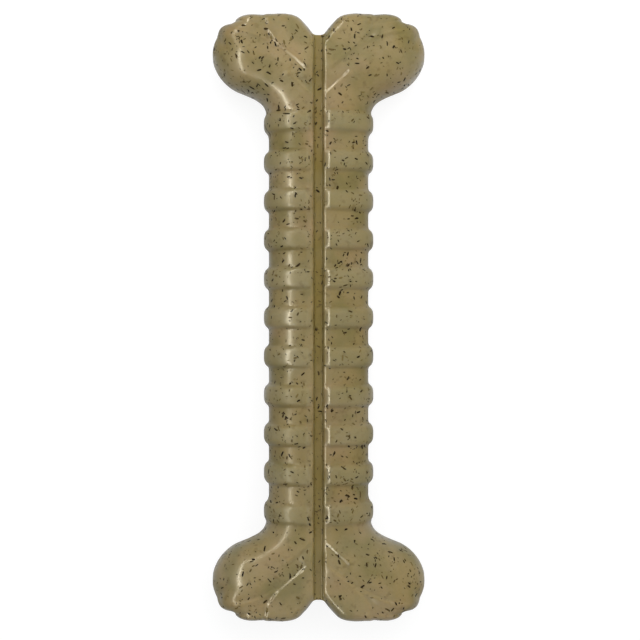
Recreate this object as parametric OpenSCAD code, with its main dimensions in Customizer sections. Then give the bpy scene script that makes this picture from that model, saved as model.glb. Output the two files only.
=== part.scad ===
// Moulded nylon chew bone with plant-fibre flecks set in its skin.
// The bone lies on its back: +Y along its length, +X across it, +Z up, and the
// origin is on the floor under its centre.

/* [Overall] */
// Length over the flat ends
bone_length = 178; // [160:1:220]
// Width over the knuckles
knuckle_width = 63; // [54:0.2:74]
// Thickness at the crown of the knuckles
knuckle_thickness = 25; // [22:0.5:32]

/* [Shaft] */
// Width of the shaft between the ribs
shaft_width = 29.5; // [24:0.1:34]
// Thickness of the shaft between the ribs
shaft_thickness = 21; // [17:0.5:22]
// Width of the lengthwise groove at its mouth
groove_mouth = 3.4; // [2.4:0.1:5]
// Width of the groove at its floor
groove_floor = 2.4; // [1.2:0.1:3.4]
// Thickness of the web between the two grooves
web_thickness = 16; // [5:0.5:16]

/* [Ribs] */
// Number of ribs, spread evenly from neck to neck
rib_count = 11; // [5:1:11]
// Width of a rib at its foot
rib_width = 6; // [4:0.2:7.6]
// Height of a rib above the shaft
rib_height = 1.5; // [0.8:0.1:2]
// Gap between the two ends of a rib, across the groove
rib_gap = 5.4; // [5:0.2:9]

/* [Knuckles] */
// Width of the limb, from its crown to the outer side
limb_side = 10.4; // [8.5:0.1:11]
// Width of the limb, from its crown to the fold
limb_fold_side = 9.8; // [8.5:0.1:10.5]
// Distance from the end of the bone to the tip of the limb
limb_tip_depth = 5.5; // [4.5:0.1:10]
// Distance from the end of the bone to where the limb leaves the shaft
neck_depth = 32; // [30:0.5:38]
// Thickness of the ball lobe beside the end notch
ball_thickness = 24; // [22:0.5:30]
// Width of the ball lobe
ball_width = 10.6; // [8:0.2:13]
// Depth of the notch between the two ball lobes
notch_depth = 6.2; // [4:0.2:8]
// Thickness of the corner lobe at the flat end
corner_thickness = 23.2; // [21:0.2:28]
// Reach of the corner lobe from the middle of the bone
corner_reach = 25.1; // [22:0.1:27]
// Width of the corner lobe
corner_width = 7.6; // [6:0.2:9]
// Thickness of the low fold between the limb and the end lobes
fold_thickness = 22.5; // [18:0.5:24]
// Width of the fold where it meets the side of the knuckle
fold_width = 8; // [5:0.2:9]

/* [Flecks] */
// Length of the dark flecks
dark_length = 2.2; // [1.4:0.1:2.8]
// Width of the dark flecks
dark_width = 0.8; // [0.4:0.1:1.2]
// Length of the paler brown flecks
brown_length = 1.6; // [1:0.1:2]
// Width of the paler brown flecks
brown_width = 0.7; // [0.4:0.1:1]
// Thickness of a fleck, down into the nylon
fleck_depth = 0.6; // [0.4:0.1:1]

/* [Hidden] */

// Squareness of the sections: 2 is an ellipse, and more is boxier
shaft_square = 2.4;
free_square = 2.3;
fold_square = 3.5;

// Steps round a quarter of the shaft's oval, and sides of the limbs and of the smaller lobes
quarter_steps = 6;
limb_sides = 20;
small_sides = 16;
// Steps round the rounded end of a lobe
cap_steps = 5;
// Angle at which a lobe's rounded end stops, just short of its point
cap_angle = 86;

// Places across a rib's half width, from foot to foot
rib_rows = [-1, -0.9, -0.55, 0.55, 0.9, 1];

// Slope at the end of a rib, by the groove
rib_end = 0.8;

// How far the cutters run past what they cut
over = 2;
// Extra thickness of the web before the grooves are cut to their floors
web_spare = 0.4;
// Depth of a fleck's outer face under the skin, and the slack round its sides
fleck_sink = 0.14;
fleck_slack = 0.02;

shaft_half = shaft_width / 2;
shaft_rise = shaft_thickness / 2;
knuckle_half = knuckle_width / 2;
mid_height = knuckle_thickness / 2;
end_y = bone_length / 2;

// The outermost ribs sit just past the necks
rib_pitch = (bone_length - 2 * neck_depth + 1) / (rib_count - 1);

// Routes of the lobes in one quarter, as [distance from the middle, distance from the end]
limb_route = [
    [shaft_half / 2, neck_depth],
    [shaft_half / 2, neck_depth * 0.486],
    [knuckle_half * 0.6, neck_depth * 0.483],
    [knuckle_half - 1.8, limb_tip_depth]
];
ball_route = [
    [ball_width * 0.19, notch_depth + 11.4],
    [ball_width * 0.3, notch_depth + 4.4],
    [ball_width * 0.6, notch_depth - 0.2],
    [ball_width * 1.4, -1.2]
];
corner_route = [
    [corner_reach * 0.36, corner_width * 0.48],
    [corner_reach * 0.55, corner_width * 0.32],
    [corner_reach * 0.8, corner_width * 0.32],
    [corner_reach, corner_width * 0.24]
];
fold_route = [
    [groove_mouth * 0.7, neck_depth * 0.6],
    [knuckle_half * 0.32, neck_depth * 0.42],
    [knuckle_half * 0.56, neck_depth * 0.25],
    [knuckle_half - 1.9, fold_width / 2 + 0.1]
];

// A lobe is a route, half widths and squareness on the far and near side of its crown,
// half heights at the start and beyond, share of the width at the start, where its end rounds off,
// sides of its section and steps before its end. The far side is turned away from the end of the bone.
limb = [limb_route, limb_side, limb_fold_side, free_square, fold_square,
    shaft_rise * 0.93, knuckle_thickness / 2, 0.75, 0.68, limb_sides, 6];
ball = [ball_route, ball_width * 0.53, ball_width * 0.47, fold_square, free_square,
    ball_thickness * 0.46, ball_thickness / 2, 1, 0.6, small_sides, 4];
corner = [corner_route, corner_width * 0.58, corner_width * 0.42, fold_square, free_square,
    corner_thickness / 2, corner_thickness / 2, 1, 0.62, small_sides, 2];
fold = [fold_route, fold_width / 2, fold_width / 2, fold_square, fold_square,
    fold_thickness / 2, fold_thickness / 2, 2, 0.8, small_sides, 3];

// A signed power, for the superellipse
function signed_power(x, p) = sign(x) * pow(abs(x), p);

// Height of an oval of half width a and half height b, at a distance u from its middle
function oval_rise(u, a, b, square) = b * pow(1 - pow(abs(u) / a, square), 1 / square);

// Angle by which that oval's surface tips away from level at u
function oval_tip(u, a, b, square) =
    let (step = 0.01)
    atan2(oval_rise(u - step, a, b, square) - oval_rise(u + step, a, b, square), 2 * step);

// Point of an oval at an angle, as [across, up]
function oval_point(a, b, square, turn) =
    [a * signed_power(cos(turn), 2 / square), b * signed_power(sin(turn), 2 / square)];

// Point and heading on a cubic Bezier route
function route_point(r, t) =
    pow(1 - t, 3) * r[0] + 3 * t * pow(1 - t, 2) * r[1] + 3 * t * t * (1 - t) * r[2] + t * t * t * r[3];
function route_heading(r, t) =
    let (d = pow(1 - t, 2) * (r[1] - r[0]) + 2 * t * (1 - t) * (r[2] - r[1]) + t * t * (r[3] - r[2]))
    d / norm(d);

// Stations along a lobe, as [place on the route, share of the full section]
function lobe_stations(lobe) = concat(
    [for (i = [0 : lobe[10] - 1]) [lobe[8] * i / lobe[10], 1]],
    [
        for (i = [0 : cap_steps])
            let (turn = cap_angle * i / cap_steps)
            [lobe[8] + (1 - lobe[8]) * sin(turn), cos(turn)]
    ]
);

// Share of a lobe's full width, and its half height, at a place on its route
function lobe_share(lobe, t) = lobe[7] + (1 - lobe[7]) * pow(min(1, t / lobe[8]), 2);
function lobe_rise(lobe, t) = lobe[5] + (lobe[6] - lobe[5]) * min(1, 1.5 * t / lobe[8]);

// A place beside a lobe's crown, moved by d to the far side, in the bone's axes
function beside(lobe, t, d) =
    let (p = route_point(lobe[0], t), h = route_heading(lobe[0], t))
    [p[0] - h[1] * d, end_y - p[1] - h[0] * d];

// Ring of points round a lobe at one station, about the bone's middle height
function lobe_ring(lobe, station) = [
    for (i = [0 : lobe[9] - 1])
        let (
            t = station[0],
            turn = 360 * i / lobe[9],
            far = cos(turn) > 0,
            a = (far ? lobe[1] : lobe[2]) * lobe_share(lobe, t) * station[1],
            b = lobe_rise(lobe, t) * station[1],
            q = oval_point(a, b, far ? lobe[3] : lobe[4], turn),
            p = beside(lobe, t, q[0])
        )
        [p[0], p[1], q[1]]
];

// Angle on the shaft's oval at a distance u from its middle
function shaft_turn(u) = acos(pow(u / shaft_half, shaft_square / 2));

// Turns round a quarter of the shaft, as [angle, 1 where a rib lifts it], from the side to the rib's end
quarter_turns = concat(
    [for (i = [0 : quarter_steps]) [shaft_turn(rib_gap / 2 + rib_end) * i / quarter_steps, 1]],
    [[shaft_turn(rib_gap / 2), 0]]
);
quarter_last = len(quarter_turns) - 1;
shaft_turns = concat(
    quarter_turns,
    [for (i = [quarter_last : -1 : 0]) [180 - quarter_turns[i][0], quarter_turns[i][1]]],
    [for (i = [1 : quarter_last]) [180 + quarter_turns[i][0], quarter_turns[i][1]]],
    [for (i = [quarter_last : -1 : 1]) [360 - quarter_turns[i][0], quarter_turns[i][1]]]
);

// Ring of points round the shaft's oval, lifted by a rib's height there, across the length at y
function shaft_ring(y, lift) = [
    for (turn = shaft_turns)
        let (
            grow = lift * turn[1],
            q = oval_point(shaft_half + grow, shaft_rise + grow, shaft_square, turn[0])
        )
        [q[0], y, q[1]]
];

// Share of a rib's height at a place across its half width
function rib_share(s) = sqrt(max(0, 1 - pow(abs(s), 3)));
function rib_y(i) = (i - (rib_count - 1) / 2) * rib_pitch;

// A closed skin over rings that have the same number of points
module skin(rings) {
    sides = len(rings[0]);
    last = len(rings) - 1;
    polyhedron(
        points = [for (ring = rings) for (p = ring) p],
        faces = concat(
            [[for (j = [sides - 1 : -1 : 0]) j]],
            [
                for (i = [0 : last - 1], j = [0 : sides - 1])
                    let (k = (j + 1) % sides)
                    [i * sides + j, i * sides + k, (i + 1) * sides + k, (i + 1) * sides + j]
            ],
            [[for (j = [0 : sides - 1]) last * sides + j]]
        )
    );
}

// A lobe that bends, and one that is straight enough to be closed into a convex form
module bent_lobe(lobe) {
    skin([for (s = lobe_stations(lobe)) lobe_ring(lobe, s)]);
}

module convex_lobe(lobe) {
    hull() bent_lobe(lobe);
}

// Copies its children into the four quarters of the bone
module four_quarters() {
    for (sx = [0, 1], sy = [0, 1]) mirror([0, sy, 0]) mirror([sx, 0, 0]) children();
}

module knuckles() {
    four_quarters() {
        bent_lobe(limb);
        convex_lobe(ball);
        convex_lobe(corner);
        convex_lobe(fold);
    }
}

// The shaft and its ribs, which stop short of the groove on both faces
module shaft() {
    reach = end_y - neck_depth * 0.6;
    skin(concat(
        [shaft_ring(-reach, 0)],
        [
            for (i = [0 : rib_count - 1], s = rib_rows)
                shaft_ring(rib_y(i) + s * rib_width / 2, rib_share(s) * rib_height)
        ],
        [shaft_ring(reach, 0)]
    ));
    // The web goes on under the groove to the end notches
    cube([groove_mouth + 2 * over, bone_length - 2 * notch_depth, web_thickness + web_spare], center = true);
}

// The tapered groove along the upper face
module groove() {
    top = mid_height + over;
    floor_height = web_thickness / 2;
    flare = (groove_mouth - groove_floor) / 2 / (shaft_rise - floor_height);
    top_half = groove_floor / 2 + flare * (top - floor_height);
    rotate([90, 0, 0])
        linear_extrude(bone_length + 2 * over, center = true)
            polygon([
                [-groove_floor / 2, floor_height], [groove_floor / 2, floor_height],
                [top_half, top], [-top_half, top]
            ]);
}

module ends_trim() {
    for (sy = [-1, 1])
        translate([0, sy * bone_length, 0])
            cube([2 * knuckle_width, bone_length, 2 * knuckle_thickness], center = true);
}

// Four numbers between 0 and 1 for one fleck
function chance(seed) = rands(0, 1, 4, seed);

// A fleck's place is [x, y, z], heading and tip of the skin there, spin in the skin, share of the
// full size, and which of x, y and z are mirrored
function oval_fleck(y, grow, near, seed, flips) =
    let (
        r = chance(seed),
        far = shaft_half * 0.72,
        u = near + (far - near) * r[0]
    )
    [
        [u, y, oval_rise(u, shaft_half + grow, shaft_rise + grow, shaft_square)],
        0, oval_tip(u, shaft_half + grow, shaft_rise + grow, shaft_square),
        180 * r[2], 0.75 + 0.5 * r[3], flips
    ];

function lobe_fleck(lobe, t, d, seed, flips) =
    let (
        r = chance(seed),
        h = route_heading(lobe[0], t),
        p = beside(lobe, t, d),
        a = (d > 0 ? lobe[1] : lobe[2]) * lobe_share(lobe, t),
        square = d > 0 ? lobe[3] : lobe[4]
    )
    [
        [p[0], p[1], oval_rise(d, a, lobe_rise(lobe, t), square)],
        atan2(-h[0], -h[1]), oval_tip(d, a, lobe_rise(lobe, t), square),
        180 * r[2], 0.75 + 0.5 * r[3], flips
    ];

// Room for a dark fleck to move along the span between two ribs
span_room = max(0, rib_pitch - rib_width - 1.3 * dark_length);

dark_places = concat(
    [
        for (i = [0 : rib_count - 2], sx = [0, 1], sz = [0, 1])
            let (seed = 100 + 4 * i + 2 * sx + sz, r = chance(seed))
            oval_fleck(rib_y(i) + rib_pitch / 2 + (r[1] - 0.5) * span_room, 0,
                rib_gap / 2 + 1, seed, [sx, 0, sz])
    ],
    [
        for (k = [0, 1], sx = [0, 1], sy = [0, 1], sz = [0, 1])
            let (seed = 200 + 8 * k + 4 * sx + 2 * sy + sz, r = chance(seed))
            lobe_fleck(limb, 0.44 + 0.14 * r[1], (k == 0 ? 0.2 : -0.35) * limb_side + r[0], seed, [sx, sy, sz])
    ]
);

brown_places = concat(
    [
        for (i = [0 : rib_count - 1], sz = [0, 1])
            oval_fleck(rib_y(i), rib_height, rib_gap / 2 + brown_length, 300 + 2 * i + sz, [(i + sz) % 2, 0, sz])
    ],
    [
        for (sx = [0, 1], sy = [0, 1], sz = [0, 1])
            let (seed = 400 + 4 * sx + 2 * sy + sz, r = chance(seed))
            lobe_fleck(ball, 0.5 + 0.1 * r[1], r[0] - 0.5, seed, [sx, sy, sz])
    ]
);

// Moves its children to a fleck's place, with +Z out of the skin
module at_fleck(f) {
    translate([0, 0, mid_height])
        mirror([f[5][0], 0, 0]) mirror([0, f[5][1], 0]) mirror([0, 0, f[5][2]])
            translate(f[0]) rotate([0, 0, f[1]]) rotate([0, f[2], 0]) rotate([0, 0, f[3]])
                children();
}

module flecks(places, length, width) {
    for (f = places)
        at_fleck(f)
            translate([-length * f[4] / 2, -width * f[4] / 2, -fleck_sink - fleck_depth])
                cube([length * f[4], width * f[4], fleck_depth]);
}

module fleck_pockets(places, length, width) {
    for (f = places)
        at_fleck(f)
            translate([
                -length * f[4] / 2 - fleck_slack, -width * f[4] / 2 - fleck_slack, -fleck_sink - fleck_depth
            ])
                cube([length * f[4] + 2 * fleck_slack, width * f[4] + 2 * fleck_slack, fleck_depth + over]);
}

module bone_body() {
    color([0.55, 0.49, 0.33])
        difference() {
            translate([0, 0, mid_height])
                difference() {
                    union() {
                        shaft();
                        knuckles();
                    }
                    groove();
                    mirror([0, 0, 1]) groove();
                    ends_trim();
                }
            fleck_pockets(dark_places, dark_length, dark_width);
            fleck_pockets(brown_places, brown_length, brown_width);
        }
}

module dark_flecks() {
    color([0.16, 0.11, 0.05]) flecks(dark_places, dark_length, dark_width);
}

module brown_flecks() {
    color("sienna") flecks(brown_places, brown_length, brown_width);
}

bone_body();
dark_flecks();
brown_flecks();
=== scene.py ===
import math

import bpy
import numpy as np
import openvdb
from mathutils import Matrix, Vector
from mathutils.bvhtree import BVHTree


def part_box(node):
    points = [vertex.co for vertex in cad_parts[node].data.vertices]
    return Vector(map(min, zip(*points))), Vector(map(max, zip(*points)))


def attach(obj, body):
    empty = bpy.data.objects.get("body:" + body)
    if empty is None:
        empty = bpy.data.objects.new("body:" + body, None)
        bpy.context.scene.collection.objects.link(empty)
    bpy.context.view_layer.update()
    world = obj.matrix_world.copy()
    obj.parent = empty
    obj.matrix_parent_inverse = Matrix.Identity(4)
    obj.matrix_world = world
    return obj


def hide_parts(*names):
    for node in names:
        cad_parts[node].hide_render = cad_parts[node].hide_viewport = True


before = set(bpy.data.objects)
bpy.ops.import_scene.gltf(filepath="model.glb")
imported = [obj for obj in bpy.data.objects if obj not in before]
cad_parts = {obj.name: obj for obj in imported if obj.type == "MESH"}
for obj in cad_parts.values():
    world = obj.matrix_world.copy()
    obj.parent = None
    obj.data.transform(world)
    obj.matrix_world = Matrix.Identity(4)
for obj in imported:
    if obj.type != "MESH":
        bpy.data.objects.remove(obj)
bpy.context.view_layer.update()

# The moulding is worked out in millimetres about the middle of the bone, in one eighth of it,
# as a field that is negative inside. The other eighths are its mirror images.
MM = 0.001
body_low, body_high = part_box("bone_body")
half_width, half_length, half_thickness = (body_high - body_low) / 2 / MM
middle_height = (body_low.z + body_high.z) / 2

VOXEL = 0.25
FIELD_LIMIT = 4.0
# Nothing is divided by a smaller slope of a field, or by a smaller rise between two voxels
LEAST_SLOPE = 0.02
LEAST_RISE = 0.01
# The skin stays this far inside the solid's box
BOX_MARGIN = 0.03
# How many faces are asked which way they look
FACES_TRIED = 2000

# The shaft's oval, and how far from the bone's end the shaft stops inside the knuckles
SHAFT_HALF = 14.72
SHAFT_RISE = 10.5
SHAFT_SQUARE = 2.4
SHAFT_INSET = 18.0
SHAFT_END_ROUND = 0.5
SHAFT_FILLET = 0.8

# The groove along the bone. Its floor rises inside the knuckles.
GROOVE_MOUTH = 1.6
GROOVE_FLOOR = 1.1
GROOVE_FLOOR_HEIGHT = 8.0
KNUCKLE_FLOOR_RISE = 0.8
FLOOR_RISE_FROM = 60.0
FLOOR_RISE_RUN = 14.0
GROOVE_EDGE = 0.3
GROOVE_CHAMFER = 0.65
CHAMFER_FALL = 0.4

# The web under the groove, between the two knuckles of an end
WEB_HALF = 3.2
WEB_ABOVE_FLOOR = 0.3
WEB_FILLET = 1.0
NOTCH_DEPTH = 6.45
END_ROUND = 2.0

# Ribs. They stand lower on the upper and lower face than at the sides.
RIB_PITCH = 11.5
RIB_LAST = 5
RIB_HALF = 3.0
RIB_HEIGHT = 1.5
RIB_FALL = 0.25
RIB_FALL_FROM = 2.0
RIB_FALL_RUN = 7.0
RIB_GAP = 2.0
RIB_FOOT_BLEND = 0.9
RIB_END_BLEND = 0.6
RIB_END_LEAN = 0.6
RIB_END_CHAMFER = 1.5
# How far from a rib's middle the groove's chamfer starts, and over what length it grows
CHAMFER_FROM_RIB = 2.2
CHAMFER_RUN = 1.0

# Routes in the plan of one knuckle, as (distance from the middle line, distance from the end)
LIMB_ROUTE = ((3.0, 34.0), (3.0, 11.7), (17.25, 13.43), (29.9, 5.36))
BALL_ROUTE = ((2.0, 17.6), (3.2, 10.6), (6.4, 6.0), (17.5, -3.5))
CORNER_ROUTE = ((9.0, 3.65), (13.8, 2.43), (20.1, 2.43), (25.1, 1.82))
FOLD_ROUTE = ((2.4, 19.2), (10.1, 13.4), (17.6, 8.0), (29.8, 4.4))

# Small steps along the edge of the ball, along the crest that goes on from it, between the ball
# and the corner, and where the limb stands over the low band beside the ball
BALL_EDGE = ((3.0, 17.3), (7.0, 13.2), (11.6, 11.0), (14.9, 5.5))
CREST = ((10.8, 11.0), (15.0, 8.6), (19.0, 6.6), (25.0, 6.0))
END_STEP = ((14.6, 4.4), (15.2, 3.0), (15.6, 1.2), (15.9, -1.0))
LIMB_STEP = ((9.6, 16.7), (7.2, 18.9), (4.7, 21.1), (2.3, 23.3))
STEP_WIDTH = 0.9
# Where on its route a step has ended
STEP_END = 1.15

# The shallow line along the corner lobe
CORNER_LINE = ((16.5, 3.4), (19.0, 3.3), (22.0, 2.9), (27.0, 0.9))
CORNER_LINE_DEPTH = 0.14

# Stations on a route, and the straight run past each of its ends
ROUTE_STATIONS = 161
RUN_STATIONS = 61
RUN_REACH = 0.6

# How fast a lobe's crown and the squareness of its near side change along it
CROWN_RATE = 1.2
SQUARE_RATE = 1.6
SQUARE_LAG = 0.4

# Fillets between the lobes: narrow at the bone's middle plane and wider above it
FILLET = 0.7
FILLET_GAIN = 2.3
FILLET_GAIN_FROM = 5.0
FILLET_GAIN_RUN = 5.0

# How far a value over the plan is smoothed
SOFTENING = 2.5

# Height and half width of the parting line round the mould's middle plane
PARTING_HEIGHT = 0.1
PARTING_HALF = 0.35


def grid_line(reach):
    """Places of voxels from the bone's middle to just past a reach."""
    return np.arange(0, reach + 3 * VOXEL, VOXEL)


across, along, up = (grid_line(reach) for reach in (half_width, half_length, half_thickness))
X = across[:, None, None]
Y = along[None, :, None]
Z = up[None, None, :]
plan_u, plan_v = np.meshgrid(across, half_length - along, indexing="ij")
EVERYWHERE = np.zeros((len(across), len(along), len(up)))


def as_distance(field):
    """A field near its surface, scaled to millimetres."""
    slopes = np.gradient(field + EVERYWHERE, VOXEL)
    steepness = np.sqrt(sum(slope * slope for slope in slopes))
    return np.clip(field / np.maximum(steepness, LEAST_SLOPE), -FIELD_LIMIT, FIELD_LIMIT)


def join(a, b, blend):
    """Union of two fields with a fillet."""
    near = np.maximum(blend - np.abs(a - b), 0)
    return np.minimum(a, b) - near * near / (4 * blend)


def cut(a, b, blend):
    """Field a with b taken away, and the new edge rounded."""
    return -join(-a, b, blend)


def ease(x):
    """Smooth step from 0 to 1."""
    x = np.clip(x, 0, 1)
    return x * x * (3 - 2 * x)


def between(pair, share):
    """The value at a share of the way from the first of a pair to the second."""
    return pair[0] + (pair[1] - pair[0]) * share


def soften(plan):
    """Values over the plan, smoothed where they jump from one part of a route to another."""
    reach = round(SOFTENING / VOXEL)
    share = np.hanning(2 * reach + 3)[1:-1]
    share /= share.sum()
    for axis in (0, 1):
        pad = [(0, 0), (0, 0)]
        pad[axis] = (reach, reach)
        wide = np.pad(plan, pad, mode="reflect", reflect_type="odd")
        plan = np.apply_along_axis(np.convolve, axis, wide, share, mode="valid")
    return plan


def stations(route):
    """Places on a curved route and on the straight runs past its ends, and the point at each place."""
    a, b, c, d = (np.array(p) for p in route)
    t = np.linspace(0, 1, ROUTE_STATIONS)[:, None]
    curve = (1 - t) ** 3 * a + 3 * t * (1 - t) ** 2 * b + 3 * t * t * (1 - t) * c + t ** 3 * d
    run = np.linspace(0, RUN_REACH, RUN_STATIONS)[1:, None]
    before = a + 3 * (a - b) * run[::-1]
    after = d + 3 * (d - c) * run
    return np.concatenate((-run[::-1], t, 1 + run)), np.concatenate((before, curve, after))


def follow(route):
    """Place on a route, from 0 to 1, and distance to its far side, for each point of the plan."""
    t, place = stations(route)
    heading = np.gradient(place, t[:, 0], axis=0)
    points = np.stack((plan_u, plan_v), axis=-1)
    gaps = ((points[:, :, None, :] - place) ** 2).sum(axis=-1)
    best = gaps.argmin(axis=-1)
    speed = np.linalg.norm(heading, axis=1)[best]
    ahead = heading[best] / speed[..., None]
    offset = points - place[best]
    t_here = t[best, 0] + (offset * ahead).sum(axis=-1) / speed
    aside = ahead[..., 0] * offset[..., 1] - ahead[..., 1] * offset[..., 0]
    return soften(t_here), soften(aside)


def lobe(route, far, near, far_square, near_squares, rises, starts, cap_from, start_run):
    """A swept lobe with rounded ends. far and near are its half widths on the two sides of its crown,
    and starts the shares of them at its start. near_squares and rises are for its start and its tip."""
    t, aside = follow(route)
    grown = np.clip(t / cap_from, 0, 1)
    is_far = aside > 0
    start = np.where(is_far, starts[0], starts[1])
    half = np.where(is_far, far, near) * (start + (1 - start) * grown ** 2)
    height = between(rises, ease(CROWN_RATE * grown))[..., None]
    near_square = between(near_squares, ease(SQUARE_RATE * t - SQUARE_LAG))
    square = np.where(is_far, far_square, near_square)[..., None]
    start_speed = 3 * math.dist(route[0], route[1])
    beyond = np.maximum((t - cap_from) / (1 - cap_from), 0) + np.maximum(-t * start_speed / start_run, 0)
    section = ((np.abs(aside) / half)[..., None] ** square + (Z / height) ** square) ** (1 / square)
    return as_distance(np.sqrt(section ** 2 + beyond[..., None] ** 2) - 1)


def line(route, half, fade_in, fade_out):
    """A soft line along a route: 1 on it, and 0 beside it and past its ends."""
    t, aside = follow(route)
    return np.exp(-(aside / half) ** 2) * ease(t / fade_in) * ease((1 - t) / fade_out)


def step(route, high, low, reach, fade_in, fade_out):
    """A small step along a route: the far side is lowered and the near side raised, less so further off."""
    t, aside = follow(route)
    ramp = np.clip(aside / STEP_WIDTH + 0.5, 0, 1)
    off = np.exp(-(np.maximum(np.abs(aside) - STEP_WIDTH / 2, 0) / reach) ** 2)
    return (low * ramp - high * (1 - ramp)) * off * ease(t / fade_in) * ease((STEP_END - t) / fade_out)


def from_nearest_rib():
    """Distance along the bone from the middle of the nearest rib."""
    return np.abs(Y - np.clip(np.round(Y / RIB_PITCH), 0, RIB_LAST) * RIB_PITCH)


def shaft_field():
    """The shaft with its ribs, up to its end inside the knuckles."""
    oval = (X / SHAFT_HALF) ** SHAFT_SQUARE + (Z / SHAFT_RISE) ** SHAFT_SQUARE
    shaft = as_distance(oval ** (1 / SHAFT_SQUARE) - 1 + EVERYWHERE)
    height = RIB_HEIGHT - RIB_FALL * ease((Z - RIB_FALL_FROM) / RIB_FALL_RUN)
    ribs = as_distance((from_nearest_rib() / RIB_HALF) ** 3 + (np.maximum(shaft, 0) / height) ** 2 - 1)
    ribs = ribs + CHAMFER_FALL * np.clip(RIB_GAP + RIB_END_CHAMFER - X, 0, RIB_END_CHAMFER)
    rib_end = X - RIB_GAP - RIB_END_LEAN * np.maximum(shaft, 0)
    ribs = cut(ribs, rib_end / math.hypot(1, RIB_END_LEAN), RIB_END_BLEND)
    shaft_end = Y - (half_length - SHAFT_INSET) + EVERYWHERE
    return cut(join(shaft, ribs, RIB_FOOT_BLEND), -shaft_end, SHAFT_END_ROUND)


def knuckle_lobes():
    """The limb, the fold in it, the corner and the ball of one knuckle, joined with fillets."""
    limb = lobe(LIMB_ROUTE, far=12.3, near=8.9, far_square=2.08, near_squares=(2.5, 2.2),
                rises=(10.2, 12.0), starts=(0.96, 0.95), cap_from=0.716, start_run=6.0)
    ball = lobe(BALL_ROUTE, far=7.0, near=5.1, far_square=3.2, near_squares=(3.8, 2.8),
                rises=(11.2, 11.7), starts=(0.5, 1.0), cap_from=0.6, start_run=3.0)
    corner = lobe(CORNER_ROUTE, far=6.2, near=4.0, far_square=2.6, near_squares=(2.0, 2.0),
                  rises=(11.5, 11.5), starts=(1.0, 1.0), cap_from=0.62, start_run=4.0)
    fold = lobe(FOLD_ROUTE, far=3.9, near=3.9, far_square=2.6, near_squares=(2.6, 2.6),
                rises=(11.1, 11.5), starts=(0.9, 0.9), cap_from=0.8, start_run=3.0)
    fillet = FILLET + FILLET_GAIN * ease((Z - FILLET_GAIN_FROM) / FILLET_GAIN_RUN)
    return join(join(join(limb, fold, fillet), corner, fillet), ball, fillet)


def knuckle_relief():
    """The small steps and the line on a knuckle's face, over the plan."""
    ball_edge = step(BALL_EDGE, high=0.2, low=0.28, reach=2.4, fade_in=0.1, fade_out=0.3)
    limb_step = step(LIMB_STEP, high=0.24, low=0.29, reach=2.4, fade_in=0.15, fade_out=0.05)
    end_step = step(END_STEP, high=0.2, low=0.2, reach=1.5, fade_in=0.3, fade_out=0.3)
    crest = step(CREST, high=0.22, low=0.28, reach=2.2, fade_in=0.15, fade_out=0.25)
    corner_line = CORNER_LINE_DEPTH * line(CORNER_LINE, half=0.45, fade_in=0.3, fade_out=0.1)
    return ball_edge + limb_step + (end_step + crest) + corner_line


def knuckle_field():
    return knuckle_lobes() + knuckle_relief()[..., None]


def chamfered(field):
    """The field with a sloping band along the groove's rim, on the knuckles and between the ribs."""
    rim = round((GROOVE_MOUTH + GROOVE_CHAMFER) / VOXEL)
    column = field[rim]
    rows = np.arange(len(along))
    solid = np.clip((column < 0).sum(axis=1), 1, len(up) - 1)
    inner, outer = column[rows, solid - 1], column[rows, solid]
    crown = (solid - 1 - inner / np.maximum(outer - inner, LEAST_RISE)) * VOXEL
    band = (Z - crown[None, :, None] + CHAMFER_FALL * (across[rim] - X)) / math.hypot(1, CHAMFER_FALL)
    between_ribs = ease((from_nearest_rib() - CHAMFER_FROM_RIB) / CHAMFER_RUN)
    return np.where(X <= across[rim], np.maximum(field, band - (1 - between_ribs)), field)


def bone_field():
    """One eighth of the whole bone, with the web, the groove, the parting line and the flat end."""
    field = chamfered(join(shaft_field(), knuckle_field(), SHAFT_FILLET))
    floor = GROOVE_FLOOR_HEIGHT + KNUCKLE_FLOOR_RISE * ease((Y - FLOOR_RISE_FROM) / FLOOR_RISE_RUN)
    web_end = Y - (half_length - NOTCH_DEPTH)
    web = np.maximum(np.maximum(X - WEB_HALF, web_end), Z - floor - WEB_ABOVE_FLOOR)
    field = join(field, web + EVERYWHERE, WEB_FILLET)
    wall = GROOVE_FLOOR + (GROOVE_MOUTH - GROOVE_FLOOR) * (Z - floor) / (SHAFT_RISE - GROOVE_FLOOR_HEIGHT)
    groove = np.maximum(X - wall, floor - Z)
    field = cut(field, groove + EVERYWHERE, GROOVE_EDGE)
    field = field - PARTING_HEIGHT * np.exp(-(Z / PARTING_HALF) ** 2)
    field = cut(field, half_length - BOX_MARGIN - Y + EVERYWHERE, END_ROUND)
    return np.maximum(field, np.maximum(X - half_width, Z - half_thickness) + BOX_MARGIN)


def mirrored(eighth):
    """The whole field from one eighth of it."""
    whole = eighth
    for axis in range(3):
        flipped = np.flip(whole, axis=axis)
        inner = [slice(None)] * 3
        inner[axis] = slice(0, -1)
        whole = np.concatenate((flipped[tuple(inner)], whole), axis=axis)
    return whole


def skin_points(field):
    """Points in metres and quads of the surface where the field is zero."""
    grid = openvdb.FloatGrid(FIELD_LIMIT)
    grid.copyFromArray(np.ascontiguousarray(field, dtype=np.float32))
    points, quads = grid.convertToQuads(isovalue=0.0)
    middle = (np.array(field.shape) - 1) / 2
    points = (points - middle) * VOXEL * MM + np.array((0, 0, middle_height))
    return points, quads


def mesh_object(name, points, faces):
    mesh = bpy.data.meshes.new(name)
    mesh.from_pydata([tuple(p) for p in points], [], [tuple(int(i) for i in f) for f in faces])
    mesh.validate()
    mesh.update()
    mesh.shade_smooth()
    piece = bpy.data.objects.new(name, mesh)
    bpy.context.scene.collection.objects.link(piece)
    return piece


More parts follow.
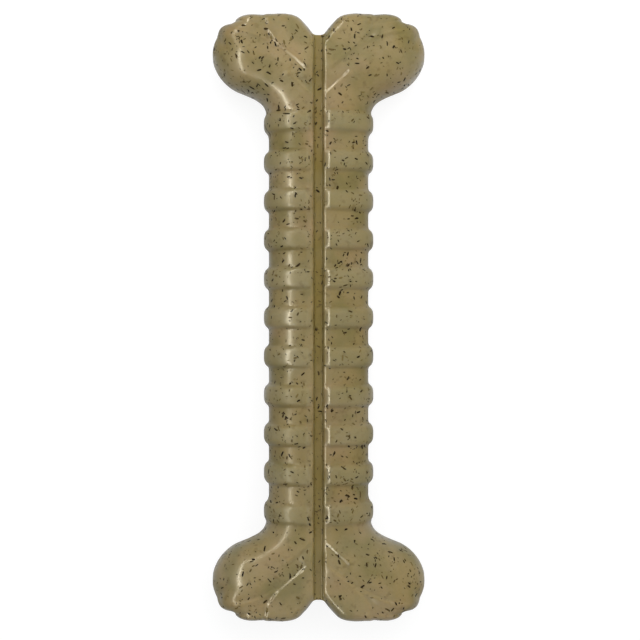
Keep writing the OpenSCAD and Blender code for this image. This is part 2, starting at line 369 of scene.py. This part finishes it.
def face_outwards(body):
    """Turn all faces over if the first ones look inwards."""
    middle = Vector((0, 0, middle_height))
    outward = sum(p.normal.dot(p.center - middle) for p in body.data.polygons[:FACES_TRIED])
    if outward < 0:
        body.data.flip_normals()


# Where values on the skin start and end, as (the place, the length over which they change)
RIM_STARTS = (1.4, 0.3)
RIM_ENDS = (3.8, 0.4)
STEPS_END = (29.5, 3.0)
LIMB_ENDS = (30.0, 3.0)
FOLD_STARTS = (21.0, 2.0)
FOLD_ENDS = (12.5, 2.5)
KNUCKLE_STARTS = (60.0, 5.0)
GROOVE_ENDS = (1.1, 0.6)
GROOVE_TOP = (10.2, 1.6)
# The same for the ribs, in shares of the shaft's oval
RIBS_START = (1.02, 0.08)

# How far along the bone there are ribs, how high the groove's rim is at least, and how much nearer
# to the bone's end the steps end for each millimetre across
RIBS_REACH = 60.5
RIM_LEAST_HEIGHT = 8.5
STEPS_SLANT = 0.9

# How much gloss is added beside the groove, round the steps and on the limb, and taken off the fold's tip
RIM_SHINE = 0.7
STEPS_SHINE = 0.6
LIMB_SHINE = 0.3
FOLD_DULLED = 0.7


def past(value, start):
    """0 before a start and 1 past it."""
    return ease((value - start[0]) / start[1])


def short_of(value, end):
    """1 well before an end and 0 past it."""
    return ease((end[0] - value) / end[1])


def shine(u, v, height):
    """How much more or less gloss a place has: more beside the groove, round the steps and on the limb,
    and less on the fold's tip."""
    beside_groove = past(u, RIM_STARTS) * short_of(u, RIM_ENDS) * (height > RIM_LEAST_HEIGHT)
    on_steps = short_of(v + STEPS_SLANT * u, STEPS_END)
    on_limb = short_of(v, LIMB_ENDS) * (1 - on_steps)
    on_fold = past(u, FOLD_STARTS) * short_of(v, FOLD_ENDS)
    on_knuckle = (STEPS_SHINE * on_steps + LIMB_SHINE * on_limb) * (1 - beside_groove)
    return RIM_SHINE * beside_groove + on_knuckle - FOLD_DULLED * on_fold


def add_tint(body, name, values):
    layer = body.data.attributes.new(name, "FLOAT", "POINT")
    layer.data.foreach_set("value", values.astype(np.float32))


def add_tints(body, points):
    """Values on the skin that the nylon's colour, with its painted light and painted shade, and its gloss
    follow.
    """
    x, y, z = np.abs(points - np.array((0, 0, middle_height))).T / MM
    oval = ((x / SHAFT_HALF) ** SHAFT_SQUARE + (z / SHAFT_RISE) ** SHAFT_SQUARE) ** (1 / SHAFT_SQUARE)
    # The ribs' painted light follows this value
    add_tint(body, "rib", np.clip((oval - RIBS_START[0]) / RIBS_START[1], 0, 1) * (y < RIBS_REACH))
    # The shaft's painted shade goes where this value is low
    add_tint(body, "knuckle", past(y, KNUCKLE_STARTS))
    add_tint(body, "shine", shine(x, half_length - y, z))
    # The groove's painted shade follows this value
    add_tint(body, "groove", (1 - past(x, GROOVE_ENDS)) * short_of(z, GROOVE_TOP))


def make_body():
    points, quads = skin_points(mirrored(bone_field()))
    body = mesh_object("nylon_moulding", points, quads)
    face_outwards(body)
    add_tints(body, points)
    return body


def node(tree, kind, inputs=(), **settings):
    """A new node with its settings and inputs. An input is a value, or an output to link."""
    made = tree.nodes.new("ShaderNode" + kind)
    for name, value in settings.items():
        setattr(made, name, value)
    for name, value in dict(inputs).items():
        if isinstance(value, bpy.types.NodeSocket):
            tree.links.new(value, made.inputs[name])
        else:
            made.inputs[name].default_value = value
    return made


def mixed(tree, blend, factor, a, b):
    """Colour a blended with colour b."""
    mix = node(tree, "Mix", {0: factor, 6: a, 7: b}, data_type="RGBA", blend_type=blend)
    return mix.outputs[2]


def spread(tree, value, low, high, to_low=0.0, to_high=1.0):
    """A value spread from one range to another, and held within it."""
    return node(tree, "MapRange", {0: value, 1: low, 2: high, 3: to_low, 4: to_high}).outputs[0]


def maths(tree, operation, *values, **settings):
    """The result of a sum, or of another operation, on values."""
    return node(tree, "Math", dict(enumerate(values)), operation=operation, **settings).outputs[0]


def new_material(name):
    material = bpy.data.materials.new(name)
    material.use_nodes = True
    tree = material.node_tree
    return material, tree, tree.nodes["Principled BSDF"]


def noise(tree, place, scale, detail):
    return node(tree, "TexNoise", {"Vector": place, "Scale": scale, "Detail": detail}).outputs["Fac"]


def object_place(tree):
    return node(tree, "TexCoord").outputs["Object"]


def tint(tree, name):
    """A value that add_tint put on the skin."""
    return node(tree, "Attribute", attribute_name=name).outputs["Fac"]


# The nylon's colours, the painted light that makes its ribs and steep sides paler, the painted shade that
# darkens its shaft and groove, and the colours of its deep flecks and grain that darken it
KHAKI = (0.305, 0.23, 0.095, 1)
OLIVE = (0.225, 0.179, 0.062, 1)
RUSSET = (0.36, 0.235, 0.12, 1)
# Painted light: the raised ribs paler and greener than the nylon between them
PAINTED_RIB_LIGHT = (0.31, 0.265, 0.14, 1)
# Painted light: the steep sides paler, standing for light through the thin nylon at the rims
PAINTED_SIDE_LIGHT = (0.30, 0.28, 0.17, 1)
# Painted shade: the groove darker and browner than the nylon round it
PAINTED_GROOVE_SHADE = (0.245, 0.177, 0.04, 1)
# Painted shade: the shaft darker and warmer than the knuckles
PAINTED_SHAFT_SHADE = (0.88, 0.875, 0.815, 1)
DEEP_SHADE = (0.6, 0.53, 0.4, 1)
GRAIN_SHADE = (0.8, 0.78, 0.7, 1)

# The nylon's settings that are the same all over
NYLON = {
    "IOR": 1.5,
    "Specular IOR Level": 0.22,
    "Coat Roughness": 0.2,
    "Subsurface Weight": 0.6,
    "Subsurface Radius": (1.0, 0.8, 0.45),
    "Subsurface Scale": 0.0025,
}


def nylon_colour(tree, place):
    """Khaki with olive and russet clouds, ribs and sides made paler by painted light, the shaft and the
    groove made darker by painted shade, and faint flecks deep inside.
    """
    olive = spread(tree, noise(tree, place, 110, 2), 0.42, 0.66)
    russet = spread(tree, noise(tree, place, 62, 3), 0.5, 0.72, 0, 0.55)
    # Painted light that makes the ribs paler
    rib_light_share = spread(tree, tint(tree, "rib"), 0, 1, 0, 0.6)
    # Painted shade that darkens the shaft
    shaft_shade_share = spread(tree, tint(tree, "knuckle"), 0, 1, 1, 0)
    # Painted shade that darkens the groove
    groove_shade_share = spread(tree, tint(tree, "groove"), 0, 1, 0, 0.75)
    # Painted light that makes the steep sides paler, more so the steeper a face stands
    upright = node(tree, "SeparateXYZ", {0: node(tree, "NewGeometry").outputs["Normal"]}).outputs[2]
    side_light_share = spread(tree, maths(tree, "ABSOLUTE", upright), 0.15, 0.6, 0.3, 0)
    deep = spread(tree, noise(tree, place, 520, 2), 0.58, 0.74, 0, 0.5)
    grain = spread(tree, noise(tree, place, 1500, 2), 0.3, 0.7, 0.25, 0)
    colour = mixed(tree, "MIX", olive, KHAKI, OLIVE)
    colour = mixed(tree, "MIX", russet, colour, RUSSET)
    colour = mixed(tree, "MIX", rib_light_share, colour, PAINTED_RIB_LIGHT)
    colour = mixed(tree, "MULTIPLY", shaft_shade_share, colour, PAINTED_SHAFT_SHADE)
    colour = mixed(tree, "MIX", side_light_share, colour, PAINTED_SIDE_LIGHT)
    colour = mixed(tree, "MIX", groove_shade_share, colour, PAINTED_GROOVE_SHADE)
    colour = mixed(tree, "MULTIPLY", deep, colour, DEEP_SHADE)
    return mixed(tree, "MULTIPLY", grain, colour, GRAIN_SHADE)


def nylon_gloss(tree, place):
    """Patchy gloss, with the added shine."""
    patches = spread(tree, noise(tree, place, 85, 2), 0.42, 0.62, 0.02, 0.8)
    return maths(tree, "ADD", patches, tint(tree, "shine"), use_clamp=True)


def nylon_skin(tree, place):
    """The fine ripple and the wider sag of a moulded skin."""
    ripple = node(tree, "Bump", {"Height": noise(tree, place, 420, 3), "Strength": 0.35,
                                 "Distance": 0.06 * MM})
    sag = node(tree, "Bump", {"Height": noise(tree, place, 130, 1), "Strength": 0.55,
                              "Distance": 0.3 * MM, "Normal": ripple.outputs[0]})
    return sag.outputs[0]


def nylon():
    """Slightly clear nylon with a glossy skin."""
    material, tree, shader = new_material("nylon")
    place = object_place(tree)
    for name, value in NYLON.items():
        shader.inputs[name].default_value = value
    roughness = spread(tree, noise(tree, place, 240, 2), 0.35, 0.65, 0.29, 0.41)
    tree.links.new(nylon_colour(tree, place), shader.inputs["Base Color"])
    tree.links.new(roughness, shader.inputs["Roughness"])
    tree.links.new(nylon_gloss(tree, place), shader.inputs["Coat Weight"])
    skin = nylon_skin(tree, place)
    tree.links.new(skin, shader.inputs["Normal"])
    tree.links.new(skin, shader.inputs["Coat Normal"])
    return material


# What the fibre's streaks darken it by
STREAK_SHADE = (0.55, 0.5, 0.45, 1)


def fibre(name, dark, light):
    """Plant fibre, each sliver with its own shade."""
    material, tree, shader = new_material(name)
    shade = node(tree, "NewGeometry").outputs["Random Per Island"]
    streaks = spread(tree, noise(tree, object_place(tree), 2500, 2), 0.3, 0.7, 0.5, 0)
    colour = mixed(tree, "MIX", shade, dark, light)
    colour = mixed(tree, "MULTIPLY", streaks, colour, STREAK_SHADE)
    tree.links.new(colour, shader.inputs["Base Color"])
    shader.inputs["Roughness"].default_value = 0.45
    shader.inputs["Specular IOR Level"].default_value = 0.05
    return material


# Stations along a sliver and its share of the full width there
SLIVER = ((-0.5, 0.35), (-0.3, 0.9), (0.0, 1.0), (0.3, 0.85), (0.5, 0.3))
SLIVER_PROUD = 0.03 * MM
SLIVER_SUNK = 0.008 * MM
SLIVER_DEPTH = 0.3 * MM
# A bent sliver's middle lies this share of its bend to one side, and its tips to the other
BEND_SHIFT = 0.1


def sliver_points(skin, place, spin, length, width, bend):
    """Three points across the top of a sliver at each station, and the same points sunk in the nylon."""
    spot, normal, _, _ = skin.find_nearest(place)
    ahead = Matrix.Rotation(spin, 3, normal) @ normal.orthogonal().normalized()
    aside = normal.cross(ahead)
    tops, roots = [], []
    for share, wide in SLIVER:
        for edge in (-0.5, 0.0, 0.5):
            shift = edge * width * wide + bend * (share * share - BEND_SHIFT) * length
            on_skin, out, _, _ = skin.find_nearest(spot + ahead * (share * length) + aside * shift)
            proud = SLIVER_PROUD if edge == 0 and abs(share) < 0.5 else -SLIVER_SUNK
            tops.append(on_skin + out * proud)
            roots.append(on_skin - out * SLIVER_DEPTH)
    return tops + roots


def sliver_faces():
    """Quads that close a sliver's points."""
    last = len(SLIVER) - 1
    deep = 3 * len(SLIVER)
    faces = []
    for i in range(last):
        for j in (0, 1):
            a, b, c, d = 3 * i + j, 3 * i + j + 1, 3 * i + j + 4, 3 * i + j + 3
            faces += [(a, d, c, b), (deep + a, deep + b, deep + c, deep + d)]
        a, d = 3 * i, 3 * i + 3
        faces += [(a, deep + a, deep + d, d), (a + 2, d + 2, deep + d + 2, deep + a + 2)]
    for j in (0, 1):
        a, d = j, 3 * last + j
        faces += [(a, a + 1, deep + a + 1, deep + a), (d, deep + d, deep + d + 1, d + 1)]
    return faces


# Corners of a solid that agree to this many decimals of a metre are one corner
SAME_DECIMALS = 6


def solid_middles(piece):
    """Middle of each separate solid in a node."""
    points = [v.co.copy() for v in piece.data.vertices]
    first = {}
    group = [first.setdefault(tuple(round(c, SAME_DECIMALS) for c in p), i) for i, p in enumerate(points)]

    def root(i):
        while group[i] != i:
            group[i] = group[group[i]]
            i = group[i]
        return i

    for edge in piece.data.edges:
        group[root(edge.vertices[0])] = root(edge.vertices[1])
    solids = {}
    for i, point in enumerate(points):
        solids.setdefault(root(i), []).append(point)
    return [piece.matrix_world @ (sum(s, Vector()) / len(s)) for s in solids.values()]


# Share of the slivers that lie close to another one, and how close
CLUSTER_SHARE = 0.25
CLUSTER_REACH = 2.0 * MM


def chance_places(body, chance, count):
    """Places on the skin, some of them close to another one."""
    faces = body.data.polygons
    areas, middles = np.empty(len(faces)), np.empty(3 * len(faces))
    faces.foreach_get("area", areas)
    faces.foreach_get("center", middles)
    picks = chance.choice(len(faces), size=count, p=areas / areas.sum())
    places = middles.reshape(-1, 3)[picks]
    for i in range(1, count):
        if chance.random() < CLUSTER_SHARE:
            places[i] = places[chance.integers(i)] + chance.normal(0, CLUSTER_REACH, 3)
    return [Vector(p) for p in places]


# How slivers differ by chance: lengths as shares of the usual one, widths as shares of the length
LARGE_LENGTHS = (1.3, 2.0)
LENGTH_SPREAD = 0.42
WIDTHS = (0.3, 0.6)
WIDEST = 0.7
NARROWEST = 0.31
BEND_SPREAD = 0.18


def make_slivers(name, skin, places, chance, usual_length, large):
    """One piece of slivers, of which the first are large ones."""
    quads = sliver_faces()
    points, faces = [], []
    for i, place in enumerate(places):
        if i < large:
            length = usual_length * chance.uniform(*LARGE_LENGTHS)
        else:
            length = usual_length * math.exp(chance.normal(0, LENGTH_SPREAD))
        width = max(min(length * chance.uniform(*WIDTHS), WIDEST), NARROWEST)
        spin, bend = chance.uniform(0, math.pi), chance.normal(0, BEND_SPREAD)
        faces += [tuple(len(points) + k for k in quad) for quad in quads]
        points += sliver_points(skin, place, spin, length * MM, width * MM, bend)
    return mesh_object(name, points, faces)


# For each kind of fleck: its piece, the node it replaces, its slot, how many fine ones there are,
# their usual length in millimetres, and its darkest and lightest colour
FLECKS = (
    ("dark_slivers", "dark_flecks", "dark_fibre", 2900, 0.8,
     (0.01, 0.005, 0.0015, 1), (0.05, 0.031, 0.009, 1)),
    ("brown_slivers", "brown_flecks", "brown_fibre", 2500, 0.72,
     (0.08, 0.05, 0.015, 1), (0.21, 0.155, 0.055, 1)),
)
SEED = 11


def dress_flecks(body):
    """Slivers on the places of the node's solids, and finer ones between them."""
    mesh = body.data
    skin = BVHTree.FromPolygons([v.co for v in mesh.vertices], [p.vertices[:] for p in mesh.polygons])
    chance = np.random.default_rng(SEED)
    few = 1.0
    for name, replaced, slot, count, usual_length, dark, light in FLECKS:
        large = solid_middles(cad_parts[replaced])
        fine = chance_places(body, chance, int(count * few))
        piece = make_slivers(name, skin, large + fine, chance, usual_length, len(large))
        piece.data.materials.append(fibre(slot, dark, light))
        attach(piece, "root")
        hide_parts(replaced)


# The photograph's width, the size of a pixel in the bone's middle plane, the camera's height over
# that plane, and how far the photograph's middle is off the bone's, in pixels
PHOTO_PX = 640
PX = 0.298 * MM
CAMERA_DISTANCE = 0.44
OFF_MIDDLE_PX = (1.4, -2.5)
SENSOR = 36


def make_camera():
    """Straight above the bone, as in the photograph."""
    camera = bpy.data.objects.new("camera", bpy.data.cameras.new("camera"))
    bpy.context.scene.collection.objects.link(camera)
    camera.data.sensor_width = SENSOR
    camera.data.lens = SENSOR * CAMERA_DISTANCE / (PHOTO_PX * PX)
    camera.location = (OFF_MIDDLE_PX[0] * PX, OFF_MIDDLE_PX[1] * PX, middle_height + CAMERA_DISTANCE)
    bpy.context.scene.camera = camera


# The warm light of the windows that show in the gloss
WINDOW_TINT = (1.0, 0.92, 0.72)


def make_lamp(name, place, width, length, power, is_glint):
    """A soft lamp that faces the bone's long axis, with its length along that axis.
    A glint lamp shows only in the gloss, and the others give only the even light."""
    lamp = bpy.data.lights.new(name, "AREA")
    lamp.shape = "RECTANGLE"
    lamp.size, lamp.size_y = width, length
    lamp.energy = power
    if is_glint:
        lamp.color = WINDOW_TINT
    made = bpy.data.objects.new(name, lamp)
    bpy.context.scene.collection.objects.link(made)
    made.location = place
    made.rotation_euler = Vector((place[0], 0, place[2])).to_track_quat("Z", "X").to_euler()
    made.visible_camera = False
    made.visible_glossy = is_glint
    made.visible_diffuse = not is_glint


# How much of the white background the nylon's gloss mirrors. All of it would wash out the rims.
MIRRORED_SHARE = 0.2


def seen_directly(tree):
    """1 for camera rays and rays sent through a surface, and a share for rays mirrored in one."""
    path = node(tree, "LightPath")
    mirrored_rays = spread(tree, path.outputs["Is Glossy Ray"], 0, 1, 0, MIRRORED_SHARE)
    seen = maths(tree, "MAXIMUM", path.outputs["Is Camera Ray"], mirrored_rays)
    return maths(tree, "MAXIMUM", seen, path.outputs["Is Transmission Ray"])


# The light of the room, and the white that is seen behind the bone
ROOM_COLOUR = (0.95, 0.98, 1.0, 1)
ROOM_STRENGTH = 0.5
WHITE = (1, 1, 1, 1)


def make_world():
    world = bpy.data.worlds.new("world")
    world.use_nodes = True
    tree = world.node_tree
    room = tree.nodes["Background"]
    room.inputs["Color"].default_value = ROOM_COLOUR
    room.inputs["Strength"].default_value = ROOM_STRENGTH
    white = node(tree, "Background", {"Color": WHITE, "Strength": 1.0})
    both = node(tree, "MixShader", {0: seen_directly(tree), 1: room.outputs[0], 2: white.outputs[0]})
    tree.links.new(both.outputs[0], tree.nodes["World Output"].inputs["Surface"])
    bpy.context.scene.world = world


def make_lamps():
    make_lamp("window", (-0.69, 0.0, 0.74), width=0.05, length=1.7, power=7.4, is_glint=True)
    make_lamp("dim_window", (-0.69, 0.6, 0.74), width=0.05, length=3.6, power=11.8, is_glint=True)
    make_lamp("fill", (0.9, 0.1, 0.7), width=0.9, length=1.4, power=1.5, is_glint=False)
    make_lamp("sky", (0.04, 0.22, 0.42), width=0.4, length=0.4, power=1.6, is_glint=False)


# Half the floor's width, its colour for light that it sends on, and its glow and shaded colour
# where it is seen
FLOOR_HALF = 3.0
PAPER = (0.45, 0.45, 0.45, 1)
PAPER_SEEN = (0.2, 0.2, 0.2, 1)
PAPER_GLOW = 0.86


def floor_material():
    """Paper that is near white where it is seen, and still keeps the bone's shadow."""
    material = bpy.data.materials.new("floor")
    material.use_nodes = True
    tree = material.node_tree
    tree.nodes.clear()
    paper = node(tree, "BsdfDiffuse", {"Color": PAPER})
    shaded = node(tree, "BsdfDiffuse", {"Color": PAPER_SEEN})
    glow = node(tree, "Emission", {"Strength": PAPER_GLOW})
    bright = node(tree, "AddShader", {0: shaded.outputs[0], 1: glow.outputs[0]})
    both = node(tree, "MixShader", {0: seen_directly(tree), 1: paper.outputs[0], 2: bright.outputs[0]})
    output = node(tree, "OutputMaterial")
    tree.links.new(both.outputs[0], output.inputs["Surface"])
    return material


def make_floor():
    mesh = bpy.data.meshes.new("floor")
    corners = [(x * FLOOR_HALF, y * FLOOR_HALF, 0) for x, y in ((-1, -1), (1, -1), (1, 1), (-1, 1))]
    mesh.from_pydata(corners, [], [(0, 1, 2, 3)])
    floor = bpy.data.objects.new("floor", mesh)
    bpy.context.scene.collection.objects.link(floor)
    mesh.materials.append(floor_material())


bpy.context.scene.view_settings.view_transform = "Standard"
body = make_body()
body.data.materials.append(nylon())
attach(body, "root")
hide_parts("bone_body")
dress_flecks(body)
make_camera()
make_world()
make_lamps()
make_floor()
